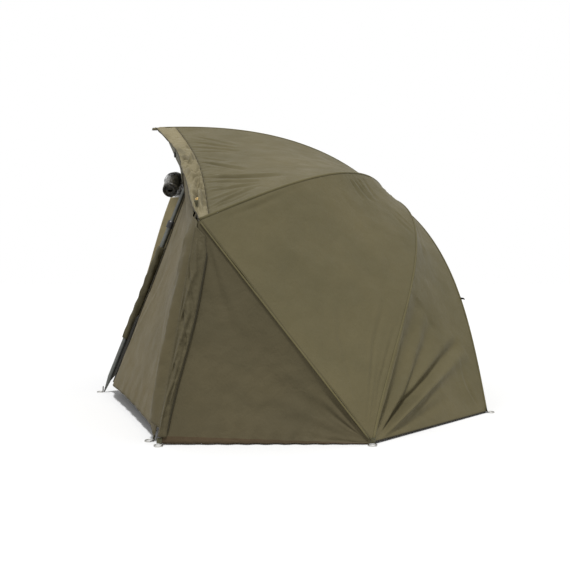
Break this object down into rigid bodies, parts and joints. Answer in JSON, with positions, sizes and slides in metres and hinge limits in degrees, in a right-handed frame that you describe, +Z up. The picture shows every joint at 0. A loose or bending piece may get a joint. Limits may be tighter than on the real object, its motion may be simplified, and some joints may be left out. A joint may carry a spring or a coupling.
{
  "type": "fishing umbrella",
  "caption": "Wide domed fishing umbrella shelter on curved folding ribs, with a peaked brim, closed front panels, a rolled-up door and two telescopic storm poles.",
  "frame": {"origin": "centre of the bounding box in plan, on the ground under the rib feet", "axes": "+Z up, -Y out of the doorway at the front, +X to the right as seen from in front of the doorway"},
  "size_m": [2.8434, 1.8851, 1.4113],
  "materials": {
    "canopy_cloth": "coated woven cloth",
    "skirt_cloth": "coated woven cloth",
    "panel_cloth": "coated woven cloth",
    "brim_cloth": "coated woven cloth",
    "door_cloth": "dark rolled mesh and cloth",
    "webbing": "woven webbing",
    "black_plastic": "moulded",
    "grey_alloy": "anodised grey",
    "steel": "plain",
    "rib_finish": "dark painted tube"
  },
  "bodies": {
    "shelter": {"hub_boss": "black_plastic", "hub_cap": "canopy_cloth", "shaft_tube": "grey_alloy", "shaft_end": "black_plastic", "skirt_r": "skirt_cloth", "front_panel_r": "panel_cloth", "corner_flap_r": "panel_cloth", "pole_lower_r": "grey_alloy", "pole_sleeve_r": "webbing", "ring_corner_r": "steel", "ring_panel_r": "steel", "ring_pole_r": "steel", "skirt_l": "skirt_cloth", "front_panel_l": "panel_cloth", "corner_flap_l": "panel_cloth", "pole_lower_l": "grey_alloy", "pole_sleeve_l": "webbing", "ring_corner_l": "steel", "ring_panel_l": "steel", "ring_pole_l": "steel"},
    "runner": {"runner": "black_plastic"},
    "trigger": {"runner_trigger": "grey_alloy"},
    "rib_front": {"rib_front": "rib_finish", "rib_tip_cap": "black_plastic", "brim_r": "brim_cloth", "brim_l": "brim_cloth", "door_header": "panel_cloth", "door_roll": "door_cloth", "roll_strap_r": "webbing", "roll_strap_l": "webbing"},
    "rib_corner_r": {"rib_corner_r": "rib_finish", "gore_front_r": "canopy_cloth"},
    "rib_side_r": {"rib_side_r": "rib_finish", "gore_side_r": "canopy_cloth", "ring_side_r": "steel"},
    "rib_rear_r": {"rib_rear_r": "rib_finish", "gore_rear_r": "canopy_cloth", "ring_rear_r": "steel", "gore_back": "canopy_cloth"},
    "rib_corner_l": {"rib_corner_l": "rib_finish", "gore_front_l": "canopy_cloth"},
    "rib_side_l": {"rib_side_l": "rib_finish", "gore_side_l": "canopy_cloth", "ring_side_l": "steel"},
    "rib_rear_l": {"rib_rear_l": "rib_finish", "gore_rear_l": "canopy_cloth", "ring_rear_l": "steel"},
    "stretcher_front": {"stretcher_front": "rib_finish"},
    "stretcher_corner_r": {"stretcher_corner_r": "rib_finish"},
    "stretcher_corner_l": {"stretcher_corner_l": "rib_finish"},
    "stretcher_side_r": {"stretcher_side_r": "rib_finish"},
    "stretcher_side_l": {"stretcher_side_l": "rib_finish"},
    "stretcher_rear_r": {"stretcher_rear_r": "rib_finish"},
    "stretcher_rear_l": {"stretcher_rear_l": "rib_finish"},
    "pole_upper_r": {"pole_upper_r": "grey_alloy"},
    "pole_clamp_r": {"pole_clamp_r": "black_plastic"},
    "pole_upper_l": {"pole_upper_l": "grey_alloy"},
    "pole_clamp_l": {"pole_clamp_l": "black_plastic"}
  },
  "joints": [
    {"name": "rib_rear_r_fold", "type": "hinge", "parent": "shelter", "child": "rib_rear_r", "pos_m": [0.03408, 0.60119, 0.99913], "axis": [-0.7553, 0.4871, -0.4385], "range_deg": [0, 58], "deforming": ["gore_rear_r", "gore_back", "skirt_r", "skirt_l", "front_panel_r", "front_panel_l", "corner_flap_r", "corner_flap_l"]},
    {"name": "rib_front_fold", "type": "hinge", "parent": "shelter", "child": "rib_front", "pos_m": [0, 0.53336, 1.0602], "axis": [1, 0, 0], "range_deg": [0, 58], "deforming": ["brim_r", "brim_l", "door_header", "door_roll", "roll_strap_r", "roll_strap_l"]},
    {"name": "rib_corner_r_fold", "type": "hinge", "parent": "shelter", "child": "rib_corner_r", "pos_m": [0.04838, 0.55785, 1.03816], "axis": [0.3665, 0.6914, -0.6226], "range_deg": [0, 58], "deforming": ["gore_front_r"]},
    {"name": "rib_corner_l_fold", "type": "hinge", "parent": "shelter", "child": "rib_corner_l", "pos_m": [-0.04838, 0.55785, 1.03816], "axis": [0.3665, -0.6914, 0.6226], "range_deg": [0, 58], "deforming": ["gore_front_l"]},
    {"name": "rib_side_r_fold", "type": "hinge", "parent": "shelter", "child": "rib_side_r", "pos_m": [0.04882, 0.58531, 1.01343], "axis": [-0.3443, 0.6977, -0.6282], "range_deg": [0, 58], "deforming": ["gore_side_r"]},
    {"name": "rib_side_l_fold", "type": "hinge", "parent": "shelter", "child": "rib_side_l", "pos_m": [-0.04882, 0.58531, 1.01343], "axis": [-0.3443, -0.6977, 0.6282], "range_deg": [0, 58], "deforming": ["gore_side_l"]},
    {"name": "rib_rear_l_fold", "type": "hinge", "parent": "shelter", "child": "rib_rear_l", "pos_m": [-0.03408, 0.60119, 0.99913], "axis": [-0.7553, -0.4871, 0.4385], "range_deg": [0, 58], "deforming": ["gore_rear_l"]},
    {"name": "runner_slide", "type": "slide", "parent": "shelter", "child": "runner", "axis": [0, -0.6691, -0.7431], "range_m": [0, 0.39266]},
    {"name": "stretcher_front_swing", "type": "hinge", "parent": "runner", "child": "stretcher_front", "pos_m": [0, 0.43603, 0.92819], "axis": [-1, 0, 0], "range_deg": [0, 41.73]},
    {"name": "stretcher_corner_r_swing", "type": "hinge", "parent": "runner", "child": "stretcher_corner_r", "pos_m": [0.03349, 0.45297, 0.91292], "axis": [-0.3665, -0.6914, 0.6226], "range_deg": [0, 41.73]},
    {"name": "stretcher_corner_l_swing", "type": "hinge", "parent": "runner", "child": "stretcher_corner_l", "pos_m": [-0.03349, 0.45297, 0.91292], "axis": [-0.3665, 0.6914, -0.6226], "range_deg": [0, 41.73]},
    {"name": "stretcher_side_r_swing", "type": "hinge", "parent": "runner", "child": "stretcher_side_r", "pos_m": [0.0338, 0.47199, 0.8958], "axis": [0.3443, -0.6977, 0.6282], "range_deg": [0, 41.73]},
    {"name": "stretcher_side_l_swing", "type": "hinge", "parent": "runner", "child": "stretcher_side_l", "pos_m": [-0.0338, 0.47199, 0.8958], "axis": [0.3443, 0.6977, -0.6282], "range_deg": [0, 41.73]},
    {"name": "stretcher_rear_r_swing", "type": "hinge", "parent": "runner", "child": "stretcher_rear_r", "pos_m": [0.02359, 0.48298, 0.8859], "axis": [0.7553, -0.4871, 0.4385], "range_deg": [0, 41.73]},
    {"name": "stretcher_rear_l_swing", "type": "hinge", "parent": "runner", "child": "stretcher_rear_l", "pos_m": [-0.02359, 0.48298, 0.8859], "axis": [0.7553, 0.4871, -0.4385], "range_deg": [0, 41.73]},
    {"name": "trigger_press", "type": "slide", "parent": "runner", "child": "trigger", "axis": [0, -0.7431, 0.6691], "range_m": [-0.003, 0], "stiffness_N_per_m": 400},
    {"name": "pole_upper_r_slide", "type": "slide", "parent": "shelter", "child": "pole_upper_r", "axis": [0.0344, 0.3765, 0.9258], "range_m": [-0.2, 0.03]},
    {"name": "pole_clamp_r_turn", "type": "hinge", "parent": "shelter", "child": "pole_clamp_r", "pos_m": [0.30612, -0.56444, 0.83878], "axis": [0.0344, 0.3765, 0.9258], "range_deg": [0, 90]},
    {"name": "pole_upper_l_slide", "type": "slide", "parent": "shelter", "child": "pole_upper_l", "axis": [-0.0344, 0.3765, 0.9258], "range_m": [-0.2, 0.03]},
    {"name": "pole_clamp_l_turn", "type": "hinge", "parent": "shelter", "child": "pole_clamp_l", "pos_m": [-0.30612, -0.56444, 0.83878], "axis": [-0.0344, 0.3765, 0.9258], "range_deg": [0, 90]}
  ],
  "couplings": [
    {"joint": "rib_front_fold", "follows": "rib_rear_r_fold", "ratio": 1},
    {"joint": "rib_corner_r_fold", "follows": "rib_rear_r_fold", "ratio": 1},
    {"joint": "rib_corner_l_fold", "follows": "rib_rear_r_fold", "ratio": 1},
    {"joint": "rib_side_r_fold", "follows": "rib_rear_r_fold", "ratio": 1},
    {"joint": "rib_side_l_fold", "follows": "rib_rear_r_fold", "ratio": 1},
    {"joint": "rib_rear_l_fold", "follows": "rib_rear_r_fold", "ratio": 1},
    {"joint": "runner_slide", "follows": "rib_rear_r_fold", "m_per_rad": 0.38789},
    {"joint": "stretcher_front_swing", "follows": "rib_rear_r_fold", "ratio": 0.71945},
    {"joint": "stretcher_corner_r_swing", "follows": "rib_rear_r_fold", "ratio": 0.71945},
    {"joint": "stretcher_corner_l_swing", "follows": "rib_rear_r_fold", "ratio": 0.71945},
    {"joint": "stretcher_side_r_swing", "follows": "rib_rear_r_fold", "ratio": 0.71945},
    {"joint": "stretcher_side_l_swing", "follows": "rib_rear_r_fold", "ratio": 0.71945},
    {"joint": "stretcher_rear_r_swing", "follows": "rib_rear_r_fold", "ratio": 0.71945},
    {"joint": "stretcher_rear_l_swing", "follows": "rib_rear_r_fold", "ratio": 0.71945}
  ]
}
